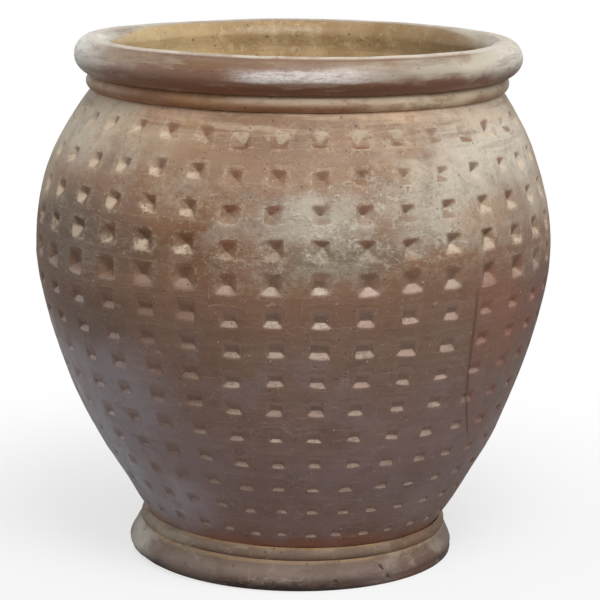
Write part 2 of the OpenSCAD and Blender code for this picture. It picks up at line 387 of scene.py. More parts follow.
class Wall:
    """Builds a section of the stamped wall between two rows, with its inner skin and its ends."""

    MARKS = (
        "lower_facet", "upper_facet", "stain_and_shade", "ashen", "print", "print_edge", "print_tone", "inner_skin",
    )

    def __init__(self):
        self.points = []
        self.faces = []
        self.sharp = []
        self.marks = {name: [] for name in self.MARKS}

    def add(self, p, **marks):
        self.points.append(p)
        for name in self.MARKS:
            self.marks[name].append(marks.get(name, 0.0))
        return len(self.points) - 1

    def bridge(self, a, b):
        """Faces between two closed loops of as many points."""
        n = len(a)
        self.faces += [(a[i], a[(i + 1) % n], b[(i + 1) % n], b[i]) for i in range(n)]

    def cell(self, stamp, border):
        """One print and the clay round it, inside the loop of border points."""
        lean_cos = math.cos(stamp.lean)

        def place(s, t, sink, **marks):
            angle, z = stamp.angle + s / stamp.r, stamp.z + t * lean_cos
            return self.add(skin_point(angle, z, sink), print_tone=stamp.tone, **marks)

        def to_stamp(index):
            angle, z = self.border_place[index]
            return half_turn(angle - stamp.angle) * stamp.r, (z - stamp.z) / lean_cos

        edge = [stamp.outline(u, v) for u, v in SQUARE]
        ways = [(a - s, b - t) for (s, t), (a, b) in zip(edge, map(to_stamp, border))]
        loops = [border]
        loops.append([place(s + a * MIDWAY, t + b * MIDWAY, 0.0) for (s, t), (a, b) in zip(edge, ways)])
        for gap, lift in reversed(LIP_RINGS):
            loop = []
            for (s, t), (a, b) in zip(edge, ways):
                share = min(gap / math.hypot(a, b), MIDWAY / 2)
                loop.append(place(s + a * share, t + b * share, -lift, print_edge=0.5))
            loops.append(loop)
        for share in INSIDE_RINGS:
            on_facet = smooth(share, -0.03, 0.10) * (1 - smooth(share, 0.93, 1.0))
            eased = share * share * (1 + EDGE_EASE) / (share + EDGE_EASE)
            loop = []
            for (u, v), (s, t) in zip(SQUARE, edge):
                a, b = stamp.tip(u, v)
                lower = on_facet * stamp.facing(u, v, -1)
                upper = on_facet * stamp.facing(u, v, 1)
                marks = {
                    "lower_facet": lower * (1 - stamp.stain_and_shade),
                    "upper_facet": upper * (1 - stamp.reversed) * (1 - stamp.faded),
                    # Lower facets painted dark: a dark stain with painted shade
                    "stain_and_shade": lower * stamp.stain_and_shade,
                    # Upper facets of the top row's reversed prints: pale ash with painted light
                    "ashen": upper * stamp.reversed,
                    "print": smooth(share, -0.05, 0.13),
                    "print_edge": 1 - smooth(share, 0.0, 0.12),
                }
                s1, t1 = s + (a - s) * share, t + (b - t) * share
                spot = Vector((s1, t1, stamp.angle)) + Vector((stamp.z, 0, 0))
                rough = FACET_ROUGH * fbm(spot, 140, 2) * share
                depth = stamp.depth * eased * (1 - stamp.shallow_top * (v + 1) / 2)
                loop.append(place(s1, t1, max(stamp.edge_sink, depth + rough), **marks))
            loops.append(loop)
        for outer, inner in zip(loops, loops[1:]):
            self.bridge(outer, inner)
        centre = place(*stamp.tip(0.0, 0.0), stamp.depth * (1 - stamp.shallow_top / 2), print=1.0)
        inner = loops[-1]
        self.faces += [(inner[i], inner[(i + 1) % RING], centre) for i in range(RING)]

    def build(self, first, last, top_z, bottom_z):
        """The outside between two rows of stamps, returned as its top and bottom loops."""
        borders = [top_z] + [(row_z(k) + row_z(k + 1)) / 2 for k in range(first, last)] + [bottom_z]
        lattice = {}
        self.border_place = {}
        for k in range(len(borders) - 1):
            for j in range(CELL_SIDE + 1):
                if k and j == 0:
                    continue
                z = borders[k] + (borders[k + 1] - borders[k]) * j / CELL_SIDE
                for i in range(AROUND):
                    if i % CELL_SIDE == 0 or j % CELL_SIDE == 0:
                        angle = column_angle(i / CELL_SIDE - 0.5)
                        index = self.add(skin_point(angle, z, 0.0))
                        lattice[i, k * CELL_SIDE + j] = index
                        self.border_place[index] = (angle, z)
        for k in range(first, last + 1):
            for c in range(COLUMNS):
                left, top = c * CELL_SIDE, (k - first) * CELL_SIDE
                steps = [
                    (left + round((u + 1) / 2 * CELL_SIDE), top + CELL_SIDE - round((v + 1) / 2 * CELL_SIDE))
                    for u, v in SQUARE
                ]
                self.cell(Stamp(c, k), [lattice[i % AROUND, j] for i, j in steps])
        rows = (last - first + 1) * CELL_SIDE
        return [[lattice[i, j] for i in range(AROUND)] for j in (0, rows)]

    def ring(self, r, z, rough=0.0):
        """Plain loop of points, roughened as a thrown inside is."""
        loop = []
        for i in range(AROUND):
            angle = column_angle(i / CELL_SIDE - 0.5)
            p = at(angle, r, z)
            loop.append(self.add(leaned(at(angle, r + rough * fbm(p, 22), z)), inner_skin=1.0))
        return loop

    def close(self, top, bottom, path):
        """Joins the outside's top loop to its bottom one by the loops of a section's path."""
        loops = [top] + [self.ring(*step) for step in path] + [bottom]
        for a, b in zip(loops, loops[1:]):
            self.bridge(b, a)
        for loop in (top, bottom):
            self.sharp += [(loop[i], loop[(i + 1) % AROUND]) for i in range(AROUND)]

    def mesh(self, name):
        made = bpy.data.meshes.new(name)
        made.from_pydata(self.points, [], self.faces)
        made.validate()
        for name, values in self.marks.items():
            store(made, name, values)

        def mark_sharp(sheet):
            sheet.verts.ensure_lookup_table()
            for a, b in self.sharp:
                sheet.edges.get((sheet.verts[a], sheet.verts[b])).smooth = False

        face_outwards(made, mark_sharp)
        return made


def inner_path(z0, z1, count):
    """Steps down or up the wall's inner skin."""
    steps = []
    for i in range(count + 1):
        z = z0 + (z1 - z0) * i / count
        r = radius_at(z, WALL)
        if z > BELLY_Z:
            r = max(r, MOUTH_R)
        steps.append((r, z, 0.5 * MM))
    return steps


RIDGE_H = 6 * MM
RIDGE_W = 8 * MM


def ridge_steps():
    """Steps over the belly joint's ridge, from the inside to the outside."""
    x = radius_at(JOINT_Z) - WALL / 2
    return [
        (x - RIDGE_W / 2, JOINT_Z),
        (x, JOINT_Z + RIDGE_H),
        (x + RIDGE_W / 2, JOINT_Z),
    ]


def upper_wall(material):
    wall = Wall()
    top, bottom = wall.build(0, UPPER_ROWS - 1, NECK_Z, JOINT_Z)
    lug = [(LUG_R, NECK_Z), (LUG_R, LUG_TOP), (MOUTH_R, LUG_TOP)]
    path = lug + inner_path(NECK_Z, JOINT_Z, 24) + ridge_steps()
    wall.close(top, bottom, path)
    mesh = wall.mesh("shoulder_section")
    return new_piece("shoulder_section", mesh, "upper_wall", material)


def lower_wall(material):
    wall = Wall()
    top, bottom = wall.build(UPPER_ROWS, STEPS, JOINT_Z, FOOT_LINE)
    bead_back = [(radius_at(z), z) for z in (FOOT_LINE - 6 * MM, FOOT_TOP)]
    path = ridge_steps()[::-1] + inner_path(JOINT_Z, FLOOR_TOP, 40)
    path += [(FLOOR_R, FLOOR_TOP), (FLOOR_R, FOOT_TOP)] + bead_back[::-1]
    wall.close(top, bottom, path)
    mesh = wall.mesh("belly_section")
    return new_piece("belly_section", mesh, "lower_wall", material)


# Turned pieces


def arc(x, z, r, start, end, count):
    """Points of an arc in the section, from one angle to another, in degrees."""
    steps = [math.radians(start + (end - start) * i / count) for i in range(count + 1)]
    return [(x + r * math.cos(a), z + r * math.sin(a)) for a in steps]


def straight(a, b, count):
    """Points along a line in the section, without its last one."""
    return [(a[0] + (b[0] - a[0]) * i / count, a[1] + (b[1] - a[1]) * i / count) for i in range(count)]


def chain(start, *legs):
    """Points along lines that follow one another, without the last one. Legs: end and count."""
    points = []
    for end, count in legs:
        points += straight(start, end, count)
        start = end
    return points


def turned(name, section, around, shape, node, material):
    """A closed section swept round the axis, each point moved by shape(angle, r, z, its place)."""
    points, faces = [], []
    n = len(section)
    for i in range(around):
        angle = i * math.tau / around
        for k, (r, z) in enumerate(section):
            points.append(leaned(shape(angle, r, z, k)))
    for i in range(around):
        a, b = i * n, (i + 1) % around * n
        faces += [(a + k, b + k, b + (k + 1) % n, a + (k + 1) % n) for k in range(n)]
    mesh = bpy.data.meshes.new(name)
    mesh.from_pydata(points, [], faces)
    mesh.validate()
    store(mesh, "turned_r", [r for r, _ in section] * around)
    store(mesh, "turned_z", [z for _, z in section] * around)

    def mark_sharp(sheet):
        for edge in sheet.edges:
            if len(edge.link_faces) == 2 and edge.calc_face_angle(0.0) > SHARP_ANGLE:
                edge.smooth = False

    face_outwards(mesh, mark_sharp)
    return new_piece(name, mesh, node, material)


# Divisions round each turned piece
FOOT_AROUND = 720
BEAD_AROUND = 360
RING_AROUND = 432
FLOOR_AROUND = 288

# The drying crack in the foot
CRACK_DEPTH = 1.2 * MM
CRACK_WIDTH = 1.6 * MM
CRACK_TOP = at(math.radians(32.2), FOOT_R - 5.2 * MM, 22.5 * MM)
CRACK_FOOT = at(math.radians(36.2), FOOT_R - 1 * MM, 7 * MM)
# Where the two ends of the foot's coils meet, and where a dark spot lies
COIL_JOINT = math.radians(-13.8)
SPOT = math.radians(15.3)
SPOT_R = FOOT_R - 1 * MM
# How far the foot ring's side has sagged
FOOT_SAG = 3.6 * MM


def crack_depth(p):
    """How far the drying crack in the foot goes in at a point."""
    along = CRACK_FOOT - CRACK_TOP
    share = max(0.0, min(1.0, (p - CRACK_TOP).dot(along) / along.length_squared))
    gap = (p - CRACK_TOP - along * share).length
    return CRACK_DEPTH * bell(gap, CRACK_WIDTH)


def foot_ring(material):
    x = FOOT_R - FOOT_CURVE
    z = FOOT_TOP - math.sqrt(FOOT_CURVE**2 - (FOOT_SHOULDER_R - x) ** 2)
    top = math.degrees(math.asin((FOOT_TOP - z) / FOOT_CURVE))
    bottom = -math.degrees(math.asin(z / FOOT_CURVE))
    out = arc(x, z, FOOT_CURVE, bottom, top, 30)
    section = out + chain(
        (FOOT_SHOULDER_R - 1 * MM, FOOT_TOP),
        ((FLOOR_R, FOOT_TOP), 3),
        ((FLOOR_R, FLOOR_LOW), 3),
        ((FOOT_BORE_R, FLOOR_LOW), 2),
        ((FOOT_BORE_R, 0.0), 3),
        (out[0], 3),
    )

    def shape(angle, r, z, k):
        p = at(angle, r, z)
        outside = smooth(r, FOOT_SHOULDER_R - 2 * MM, FOOT_SHOULDER_R + 1 * MM)
        lumps = 0.3 + 0.5 * smooth(-math.sin(angle), 0.55, 0.9)
        rough = 0.7 - 0.6 * fbm(p, 14, 2) - lumps * fbm(p, 60, 2)
        inward = outside * smooth(z, 0.0, 3 * MM) * rough * MM
        rolled = smooth(z, 13 * MM, 22 * MM) * (1 - smooth(z, 25 * MM, FOOT_TOP))
        inward += 1.3 * MM * rolled
        fuller = (0.5 + 4.5 * math.sin(angle)) * MM * (1 - smooth(z, 0.0, 11 * MM))
        sunk_z = z - FOOT_SAG * outside * math.sin(math.pi * min(1.0, z / FOOT_TOP))
        inward += outside * (crack_depth(Vector((p.x, p.y, sunk_z))) - fuller)
        return at(angle, r - inward, sunk_z)

    return turned("foot_ring_piece", section, FOOT_AROUND, shape, "foot_ring", material)


def foot_bead(material):
    rise = FOOT_LINE - FOOT_TOP - BEAD_RISE
    out = BEAD_R - BASE_R
    r = (out * out + rise * rise) / (2 * out)
    top = math.degrees(math.asin(rise / r))
    low_angle = -math.degrees(math.asin(BEAD_RISE / r))
    section = arc(BEAD_R - r, FOOT_TOP + BEAD_RISE, r, low_angle, top, 14)
    round_side = len(section)
    section += [(radius_at(z), z) for z in (FOOT_LINE - 6 * MM, FOOT_TOP)]

    def shape(angle, r, z, k):
        p = at(angle, r, z)
        turn = half_turn(angle - COIL_JOINT)
        left_end = smooth(-turn, 0.0, 0.02) * (1 - smooth(-turn, 0.3, 0.9))
        inward = (0.2 + 0.6 * left_end - 0.3 * fbm(p, 26, 2)) * MM if k < round_side else 0.0
        return at(angle, r - inward, z)

    return turned("foot_bead_piece", section, BEAD_AROUND, shape, "foot_bead", material)


def collar(material):
    out = COLLAR_R - COLLAR_FLAT_R
    half = (COLLAR_TOP - NECK_Z) / 2
    r = (out * out + half * half) / (2 * out)
    turn = math.degrees(math.asin(half / r))
    section = arc(COLLAR_R - r, NECK_Z + half, r, -turn, turn, 18)
    round_side = len(section)
    section += [(LUG_R, COLLAR_TOP), (LUG_R, NECK_Z)]

    def shape(angle, r, z, k):
        p = at(angle, r, z)
        inward = (0.5 - 0.4 * fbm(p, 22, 2) - 0.3 * fbm(p, 7, 2)) * MM if k < round_side else 0.0
        return at(angle, r - inward, z)

    return turned("collar_piece", section, RING_AROUND, shape, "collar_bead", material)


# Groove and lip on the roll's crown: how far out from its top, how wide, and how deep or high
GROOVE_TURN, GROOVE_WIDTH, GROOVE_DEPTH = math.radians(30), 1.3 * MM, 0.55 * MM
LIP_TURN, LIP_WIDTH, LIP_RISE = math.radians(14), 3.2 * MM, 0.25 * MM
# How far the roll dips at one place behind
RIM_DIP = 1.5 * MM
# What a height may differ by and still count as a seat's
SEAT_SLACK = 0.1 * MM


def rim(material):
    r = ROLL_WIDTH / 2
    x = RIM_R - r
    low_z = COLLAR_TOP + math.sqrt(r * r - (ROLL_SEAT_R - x) ** 2)
    high_z = RIM_TOP - r
    seat = -math.degrees(math.asin((low_z - COLLAR_TOP) / r))
    section = arc(x, low_z, r, seat, 0, 14) + straight((x + r, low_z), (x + r, high_z), 2)[1:]
    section += arc(x, high_z, r, 0, 180, 52)
    section += straight((MOUTH_R, high_z), (MOUTH_R, COLLAR_TOP), 6)[1:]
    section += straight((MOUTH_R, LUG_TOP), (LUG_R, LUG_TOP), 3)
    section += [(LUG_R, LUG_TOP), (LUG_R, COLLAR_TOP)]
    groove_r = x + r * math.sin(GROOVE_TURN)
    lip_r = x + r * math.sin(LIP_TURN)

    def shape(angle, radius, z, k):
        p = at(angle, radius, z)
        if z <= COLLAR_TOP + SEAT_SLACK or (z <= LUG_TOP + SEAT_SLACK and radius < LUG_R + MM):
            return p
        inward = 0.8 * MM - 0.5 * MM * fbm(p, 8, 2) - 0.25 * MM * fbm(p, 30, 2)
        crest = smooth(z, high_z, high_z + 0.5 * r)
        front = 0.35 + 0.65 * smooth(math.cos(angle - 0.1), 0.1, 0.9)
        groove = bell(radius - groove_r, GROOVE_WIDTH)
        lip = bell(radius - lip_r, LIP_WIDTH)
        inward += crest * front * (GROOVE_DEPTH * groove - LIP_RISE * lip)
        away = Vector((radius - x, z - max(min(z, high_z), low_z)))
        if away.length > 0:
            away.normalize()
        dip = RIM_DIP * crest * smooth(-math.cos(angle), 0.1, 0.7) * smooth(-math.sin(angle), 0.0, 0.6)
        return at(angle, radius - inward * away.x, z - inward * away.y - dip)

    return turned("rim_piece", section, RING_AROUND, shape, "rim_roll", material)


# Step of the spiral that the potter's finger left on the floor
SPIRAL_STEP = 9 * MM


def floor_slab(material):
    section = chain((FLOOR_R, FLOOR_LOW), ((FLOOR_R, FLOOR_TOP), 3), ((DRAIN_R + 1.5 * MM, FLOOR_TOP), 26))
    section += [(DRAIN_R + 0.4 * MM, FLOOR_TOP - 0.4 * MM), (DRAIN_R, FLOOR_TOP - 1.5 * MM)]
    section += [(DRAIN_R, FLOOR_LOW + 1 * MM), (DRAIN_R + 1 * MM, FLOOR_LOW)]
    section += straight((DRAIN_R + 3 * MM, FLOOR_LOW), (FLOOR_R, FLOOR_LOW), 8)

    def shape(angle, r, z, k):
        p = at(angle, r, z)
        clear = smooth(r, DRAIN_R + 2 * MM, DRAIN_R + 10 * MM)
        clear *= 1 - smooth(r, FLOOR_R - 12 * MM, FLOOR_R - 4 * MM)
        spiral = math.sin(r * math.tau / SPIRAL_STEP - angle)
        top = z > FLOOR_TOP - 0.2 * MM
        sink = clear * (0.6 * MM + 0.35 * MM * spiral + 0.3 * MM * fbm(p, 20, 2)) if top else 0.0
        return at(angle, r, z - sink)

    return turned("floor_piece", section, FLOOR_AROUND, shape, "floor_slab", material)


# Materials


def srgb(r, g, b):
    """A colour as it looks on a screen, from 0 to 255, as Blender's linear colour."""
    def linear(c):
        c /= 255
        return c / 12.92 if c <= 0.04045 else ((c + 0.055) / 1.055) ** 2.4

    return (linear(r), linear(g), linear(b), 1.0)


class Look:
    """Builds one material's nodes, with short calls for what recurs."""

    def __init__(self, name):
        self.material = bpy.data.materials.new(name)
        self.material.use_nodes = True
        self.nodes = self.material.node_tree.nodes
        self.links = self.material.node_tree.links
        self.shader = self.nodes["Principled BSDF"]
        self.place = self.nodes.new("ShaderNodeTexCoord").outputs["Object"]
        self.colour = None

    def connect(self, socket, value):
        if isinstance(value, bpy.types.NodeSocket):
            self.links.new(value, socket)
        else:
            socket.default_value = value

    def math(self, operation, a, b=0.0):
        node = self.nodes.new("ShaderNodeMath")
        node.operation = operation
        self.connect(node.inputs[0], a)
        self.connect(node.inputs[1], b)
        return node.outputs[0]

    def plus(self, a, b):
        return self.math("ADD", a, b)

    def minus(self, a, b):
        return self.math("SUBTRACT", a, b)

    def either(self, a, b):
        """The larger of two shares."""
        return self.math("MAXIMUM", a, b)

    def all_of(self, *shares):
        """Product of several shares."""
        total = shares[0]
        for share in shares[1:]:
            total = self.math("MULTIPLY", total, share)
        return total

    def vector(self, operation, a, b=(0, 0, 0)):
        node = self.nodes.new("ShaderNodeVectorMath")
        node.operation = operation
        self.connect(node.inputs[0], a)
        if operation == "SCALE":
            self.connect(node.inputs["Scale"], b)
        else:
            self.connect(node.inputs[1], b)
        number = operation in ("LENGTH", "DISTANCE", "DOT_PRODUCT")
        return node.outputs["Value"] if number else node.outputs["Vector"]

    def ramp(self, value, low, high, start=0.0, end=1.0):
        """start where value is below low, end above high, and a smooth step between."""
        node = self.nodes.new("ShaderNodeMapRange")
        node.interpolation_type = "SMOOTHSTEP"
        for socket, setting in zip(node.inputs, (value, low, high, start, end)):
            self.connect(socket, setting)
        return node.outputs[0]

    def between(self, value, a, b, c, d):
        """A share that rises from a to b and falls again from c to d."""
        return self.math("MULTIPLY", self.ramp(value, a, b), self.ramp(value, c, d, 1.0, 0.0))

    def noise(self, scale, detail=3.0, stretch=(1, 1, 1), rough=0.55, shift=0.0, swirl=0.0):
        """Noise from about 0.25 to 0.75, finer where scale is higher."""
        where = self.vector("MULTIPLY", self.place, stretch)
        if shift:
            where = self.vector("ADD", where, (shift, shift * 0.7, shift * 1.3))
        node = self.nodes.new("ShaderNodeTexNoise")
        self.connect(node.inputs["Vector"], where)
        node.inputs["Scale"].default_value = scale
        node.inputs["Detail"].default_value = detail
        node.inputs["Roughness"].default_value = rough
        node.inputs["Distortion"].default_value = swirl
        return node.outputs["Fac"]

    def threads(self, scale, width, stretch=(1, 1, 1), shift=0.0, swirl=0.0):
        """1 along thin wandering lines, as scratches and the edges of dried wash make."""
        field = self.noise(scale, 2.0, stretch, 0.5, shift, swirl)
        gap = self.math("ABSOLUTE", self.minus(field, 0.5))
        return self.ramp(gap, width * 0.3, width, 1.0, 0.0)

    def axis(self, where, name):
        """One coordinate of a place."""
        node = self.nodes.new("ShaderNodeSeparateXYZ")
        self.connect(node.inputs[0], where)
        return node.outputs[name]

    def specks(self, scale, size, keep=0.5):
        """1 in small round spots, scattered so that only a share of the cells has one."""
        node = self.nodes.new("ShaderNodeTexVoronoi")
        self.connect(node.inputs["Vector"], self.place)
        node.inputs["Scale"].default_value = scale
        spot = self.ramp(node.outputs["Distance"], size * 0.5, size, 1.0, 0.0)
        chosen = self.nodes.new("ShaderNodeSeparateColor")
        self.connect(chosen.inputs[0], node.outputs["Color"])
        return self.math("MULTIPLY", spot, self.math("LESS_THAN", chosen.outputs[0], keep))

    def mix(self, share, a, b):
        """a where the share is 0, b where it is 1: outputs, or colours as they look on a screen."""
        node = self.nodes.new("ShaderNodeMix")
        node.data_type = "RGBA"
        for name, value in (("Factor_Float", share), ("A_Color", a), ("B_Color", b)):
            value = srgb(*value) if isinstance(value, tuple) else value
            self.connect(next(s for s in node.inputs if s.identifier == name), value)
        return next(s for s in node.outputs if s.identifier == "Result_Color")

    def mix_number(self, share, a, b):
        """a where the share is 0, b where it is 1."""
        step = self.math("MULTIPLY", share, self.minus(b, a))
        return self.plus(a, step)

    def warped(self, amount, scale):
        """The object's own coordinates, pushed about so that patches get ragged edges."""
        node = self.nodes.new("ShaderNodeTexNoise")
        self.connect(node.inputs["Vector"], self.place)
        node.inputs["Scale"].default_value = scale
        node.inputs["Detail"].default_value = 5.0
        node.inputs["Roughness"].default_value = 0.6
        pushed = self.vector("SUBTRACT", node.outputs["Color"], (0.5, 0.5, 0.5))
        return self.vector("ADD", self.place, self.vector("SCALE", pushed, amount * 2))

    def patch(self, where, centre, size, soft=0.7):
        """1 in the middle of an ellipsoid, 0 outside it."""
        offset = self.vector("SUBTRACT", where, centre)
        scaled = self.vector("MULTIPLY", offset, tuple(1 / s for s in size))
        return self.ramp(self.vector("LENGTH", scaled), 1.0 - soft, 1.0, 1.0, 0.0)

    def lay(self, shade, *shares):
        """Lays a shade over the colour, by the product of its shares."""
        self.colour = self.mix(self.all_of(*shares), self.colour, shade)

    def washes(self, where, rows):
        """Lays soft-edged washes over the colour. Rows: centre, size in mm, shade and share."""
        for centre, size, shade, share in rows:
            self.lay(shade, self.patch(where, centre, [s * MM for s in size]), share)

    def scratch(self, where, start, end, width):
        """1 along a straight line from start to end, 0 beyond its width."""
        along = tuple(b - a for a, b in zip(start, end))
        square = sum(c * c for c in along)
        offset = self.vector("SUBTRACT", where, start)
        share = self.math("DIVIDE", self.vector("DOT_PRODUCT", offset, along), square)
        share = self.math("MINIMUM", self.math("MAXIMUM", share, 0.0), 1.0)
        nearest = self.nodes.new("ShaderNodeCombineXYZ")
        for socket, a, b in zip(nearest.inputs, start, along):
            self.connect(socket, self.plus(self.math("MULTIPLY", share, b), a))
        gap = self.vector("DISTANCE", where, nearest.outputs[0])
        return self.ramp(gap, width * 0.35, width, 1.0, 0.0)

    def by_height(self, height, stops):
        """Colour by height: stops are (height in metres, colour)."""
        node = self.nodes.new("ShaderNodeValToRGB")
        self.connect(node.inputs[0], self.math("DIVIDE", height, RIM_TOP))
        elements = node.color_ramp.elements
        while len(elements) < len(stops):
            elements.new(0.5)
        for element, (z, colour) in zip(elements, stops):
            element.position = z / RIM_TOP
            element.color = srgb(*colour)
        return node.outputs["Color"]

    def mark(self, name):
        """A number that the mesh keeps for each vertex."""
        node = self.nodes.new("ShaderNodeAttribute")
        node.attribute_name = name
        return node.outputs["Fac"]

    def bump(self, height, distance, strength=1.0, under=None):
        node = self.nodes.new("ShaderNodeBump")
        node.inputs["Strength"].default_value = strength
        node.inputs["Distance"].default_value = distance
        self.connect(node.inputs["Height"], height)
        if under is not None:
            self.connect(node.inputs["Normal"], under)
        return node.outputs["Normal"]

    def grain(self, under=None, coarse=1.0):
        """Relief of coarse fired clay: soft lumps and a sandy tooth."""
        lumps = self.noise(75, 5.0, (1, 1, 1.3), 0.62, 4.0)
        tooth = self.noise(430, 4.0, (1, 1, 1), 0.68, 2.0)
        normal = self.bump(lumps, 1.3 * MM * coarse, 0.6, under)
        return self.bump(tooth, 0.4 * MM * coarse, 0.6, normal), tooth

    def sandy(self, roughness, tooth):
        """Roughness, varied a little by the clay's tooth."""
        return self.plus(roughness, self.ramp(tooth, 0.3, 0.7, -0.08, 0.10))

    def finish(self, roughness, normal, specular):
        self.connect(self.shader.inputs["Base Color"], self.colour)
        self.connect(self.shader.inputs["Roughness"], roughness)
        self.connect(self.shader.inputs["Normal"], normal)
        self.shader.inputs["Specular IOR Level"].default_value = specular
        return self.material


def on_wall(angle, z):
    """A place on the wall, from degrees round the pot and a height."""
    return tuple(at(math.radians(angle), radius_at(z), z))


def raw_clay(look):
    """Bare ochre clay with streaks, as on the inside of the pot, with painted light on its left and painted
    shade on its right.
    """
    streak = look.noise(26, 5.0, (1, 1, 0.35), 0.62, 1.0)
    colour = look.mix(look.ramp(streak, 0.36, 0.62), (172, 143, 102), (150, 120, 78))
    cloud = look.noise(34, 5.0, (1, 1, 1), 0.62, 6.0)
    colour = look.mix(look.ramp(cloud, 0.5, 0.66, 0.0, 0.6), colour, (190, 162, 120))
    smear = look.noise(60, 4.0, (1, 1, 3), 0.6, 11.0)
    colour = look.mix(look.ramp(smear, 0.55, 0.7, 0.0, 0.5), colour, (134, 108, 70))
    drips = look.all_of(look.threads(34, 0.03, (1, 1, 0.6), 8.0, 0.6), look.ramp(smear, 0.50, 0.60))
    flecks = look.ramp(look.noise(95, 5.0, (1, 1, 0.8), 0.72, 16.0), 0.55, 0.66)
    light = look.either(look.all_of(drips, 0.30), look.all_of(flecks, 0.45))
    colour = look.mix(light, colour, (210, 190, 152))
    # Painted light on the left of the clay and painted shade on its right
    across = look.axis(look.place, "X")
    colour = look.mix(look.ramp(across, -0.17, 0.0, 0.50, 0.0), colour, (216, 190, 140))
    colour = look.mix(look.ramp(across, 0.0, 0.16, 0.0, 0.50), colour, (108, 84, 52))
    pits = look.either(look.specks(95, 0.17, 0.28), look.specks(60, 0.12, 0.2))
    return look.mix(look.all_of(pits, 0.75), colour, (84, 62, 38))


# The fold starts at an angle and a height, and drifts round the pot over its drop
FOLD_TURN = math.radians(42.2)
FOLD_DRIFT = math.radians(10.9)
FOLD_TOP = 0.290
FOLD_DROP = 0.147
FOLD_R = 0.235


def fold(look):
    """The upright fold on the right of the belly: the reddened clay beside it, and its dark line."""
    where = look.warped(0.0025, 40)
    z = look.axis(where, "Z")
    turn = look.math("ARCTAN2", look.axis(where, "X"), look.all_of(look.axis(where, "Y"), -1.0))
    down = look.either(look.math("DIVIDE", look.minus(FOLD_TOP, z), FOLD_DROP), 0.0)
    drift = look.all_of(look.math("POWER", down, 2.8), FOLD_DRIFT)
    gap = look.all_of(look.minus(look.minus(turn, FOLD_TURN), drift), FOLD_R)
    length = look.between(z, 0.135, 0.160, 0.280, 0.305)
    line = look.between(gap, -3.0 * MM, -0.4 * MM, 0.4 * MM, 3.0 * MM)
    beside = look.between(gap, -12 * MM, 4 * MM, 6 * MM, 30 * MM)
    return look.all_of(beside, length), look.all_of(line, length)


# Washes of the wall: degrees round the pot, height and size in mm, shade and share; some rows are painted
# sheen, light or shade, as noted
WALL_WASHES_AND_PAINTED_LIGHT = (
    (2, 372, (74, 70, 30), (172, 163, 147), 0.90),
    (8, 336, (80, 60, 30), (110, 95, 78), 0.90),
    (34, 385, (90, 90, 50), (178, 167, 149), 0.90),
    (47, 365, (55, 60, 30), (168, 142, 116), 0.70),
    # Pale ash on the right of the shoulder, with painted light from the right
    (58, 425, (120, 150, 60), (204, 194, 177), 0.95),
    (70, 365, (70, 130, 50), (175, 157, 137), 0.80),
    (-26, 345, (80, 70, 45), (120, 83, 54), 0.90),
    (-20, 372, (60, 70, 30), (127, 93, 65), 0.80),
    (-6, 443, (95, 80, 36), (120, 88, 61), 0.80),
    (-68, 425, (110, 160, 54), (190, 178, 158), 0.95),
    (-46, 425, (78, 100, 34), (184, 164, 139), 0.80),
    (-60, 334, (115, 150, 56), (82, 58, 33), 0.94),
    (-38, 335, (65, 70, 36), (92, 66, 43), 0.85),
    (-20, 348, (50, 50, 38), (106, 70, 43), 0.92),
    (-84, 380, (30, 120, 50), (150, 134, 114), 0.80),
    (33, 418, (35, 40, 20), (194, 182, 163), 0.70),
    (24, 350, (35, 40, 22), (158, 145, 128), 0.70),
    (20, 390, (32, 40, 18), (150, 132, 111), 0.50),
    (11, 356, (32, 40, 18), (136, 121, 104), 0.60),
    (-72, 365, (35, 80, 36), (164, 144, 116), 0.70),
    (-36, 450, (60, 60, 13), (184, 150, 120), 0.60),
    (74, 325, (50, 120, 40), (140, 108, 92), 0.70),
    (62, 336, (50, 80, 34), (126, 93, 72), 0.80),
    # Dark brown on the right edge: wash, and painted shade against the reflected white surroundings
    (70, 255, (45, 100, 90), (86, 58, 50), 0.70),
    (-130, 190, (200, 200, 150), (130, 114, 110), 0.75),
    (-98, 165, (130, 220, 165), (148, 136, 136), 0.85),
    # Painted sheen over a purple grey glaze, low on the left
    (-56, 176, (125, 150, 108), (145, 137, 143), 0.88),
    # Painted sheen along the left edge, over a bluish grey glaze
    (-80, 176, (80, 130, 112), (196, 193, 198), 0.85),
    (-56, 264, (105, 120, 44), (98, 71, 52), 0.62),
    # Next two rows: painted sheen low on the left, over a bluish grey glaze
    (-48, 85, (85, 100, 66), (168, 162, 170), 0.80),
    (-68, 95, (70, 120, 85), (178, 178, 186), 0.85),
    (-110, 170, (110, 112, 130), (146, 133, 131), 0.85),
    (58, 262, (80, 110, 65), (140, 90, 70), 0.70),
    (48, 150, (80, 120, 70), (130, 102, 99), 0.60),
    (40, 85, (60, 70, 40), (140, 116, 112), 0.50),
    (150, 390, (170, 120, 60), (182, 166, 144), 0.85),
    (-150, 370, (120, 140, 60), (142, 108, 86), 0.70),
    (125, 180, (120, 150, 110), (126, 96, 84), 0.60),
)


